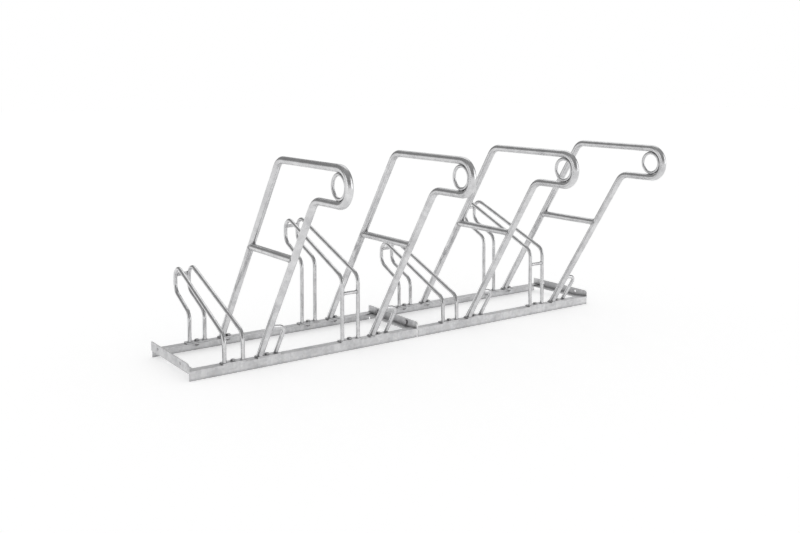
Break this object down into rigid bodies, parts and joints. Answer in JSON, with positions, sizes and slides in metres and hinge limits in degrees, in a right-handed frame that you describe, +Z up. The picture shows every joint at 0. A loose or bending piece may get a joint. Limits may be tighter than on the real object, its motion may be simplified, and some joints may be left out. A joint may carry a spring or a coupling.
{
  "type": "floor bike rack",
  "caption": "Free-standing floor bicycle rack in galvanised steel: bent-bar wheel holders at two heights and leaning tube frames with locking rings, on coupled angle-rail bases.",
  "frame": {"origin": "on the floor, at the centre of the rack's outline seen from above", "axes": "+X along the row of places to the right seen from the rider's side, -Y to the rider's side where the leaning frames reach out, +Z up"},
  "size_m": [2, 1.1143, 0.7934],
  "materials": {
    "galvanised_angle": "matt hot-dip galvanised with fine spangle",
    "galvanised_tube": "satin hot-dip galvanised",
    "galvanised_bar": "satin hot-dip galvanised",
    "galvanised_plate": "matt hot-dip galvanised",
    "zinc_plated_fastener": "bright zinc plating"
  },
  "bodies": {
    "root": {"front_rail_left": "galvanised_angle", "rear_rail_left": "galvanised_angle", "front_rail_right": "galvanised_angle", "rear_rail_right": "galvanised_angle", "end_angle_left": "galvanised_angle", "joint_angle_left": "galvanised_angle", "joint_angle_right": "galvanised_angle", "end_angle_right": "galvanised_angle", "low_holder_1_left_hoop": "galvanised_bar", "low_holder_1_right_hoop": "galvanised_bar", "low_holder_1_tie": "galvanised_plate", "low_holder_1_front_foot": "galvanised_plate", "low_holder_1_rear_foot": "galvanised_plate", "high_holder_1_left_hoop": "galvanised_bar", "high_holder_1_right_hoop": "galvanised_bar", "high_holder_1_tie": "galvanised_plate", "high_holder_1_front_bar": "galvanised_bar", "high_holder_1_front_foot": "galvanised_plate", "high_holder_1_rear_foot": "galvanised_plate", "low_holder_2_left_hoop": "galvanised_bar", "low_holder_2_right_hoop": "galvanised_bar", "low_holder_2_tie": "galvanised_plate", "low_holder_2_front_foot": "galvanised_plate", "low_holder_2_rear_foot": "galvanised_plate", "high_holder_2_left_hoop": "galvanised_bar", "high_holder_2_right_hoop": "galvanised_bar", "high_holder_2_tie": "galvanised_plate", "high_holder_2_front_bar": "galvanised_bar", "high_holder_2_front_foot": "galvanised_plate", "high_holder_2_rear_foot": "galvanised_plate", "lean_frame_1_tube": "galvanised_tube", "lean_frame_1_cross_bar": "galvanised_tube", "lean_frame_1_ring": "galvanised_bar", "lean_frame_1_brace": "galvanised_bar", "lean_frame_1_front_foot": "galvanised_plate", "lean_frame_1_rear_foot": "galvanised_plate", "lean_frame_2_tube": "galvanised_tube", "lean_frame_2_cross_bar": "galvanised_tube", "lean_frame_2_ring": "galvanised_bar", "lean_frame_2_brace": "galvanised_bar", "lean_frame_2_front_foot": "galvanised_plate", "lean_frame_2_rear_foot": "galvanised_plate", "lean_frame_3_tube": "galvanised_tube", "lean_frame_3_cross_bar": "galvanised_tube", "lean_frame_3_ring": "galvanised_bar", "lean_frame_3_brace": "galvanised_bar", "lean_frame_3_front_foot": "galvanised_plate", "lean_frame_3_rear_foot": "galvanised_plate", "lean_frame_4_tube": "galvanised_tube", "lean_frame_4_cross_bar": "galvanised_tube", "lean_frame_4_ring": "galvanised_bar", "lean_frame_4_brace": "galvanised_bar", "lean_frame_4_front_foot": "galvanised_plate", "lean_frame_4_rear_foot": "galvanised_plate", "foot_bolts": "zinc_plated_fastener", "foot_nuts": "zinc_plated_fastener", "coupling_bolts": "zinc_plated_fastener", "coupling_nuts": "zinc_plated_fastener"}
  },
  "joints": []
}
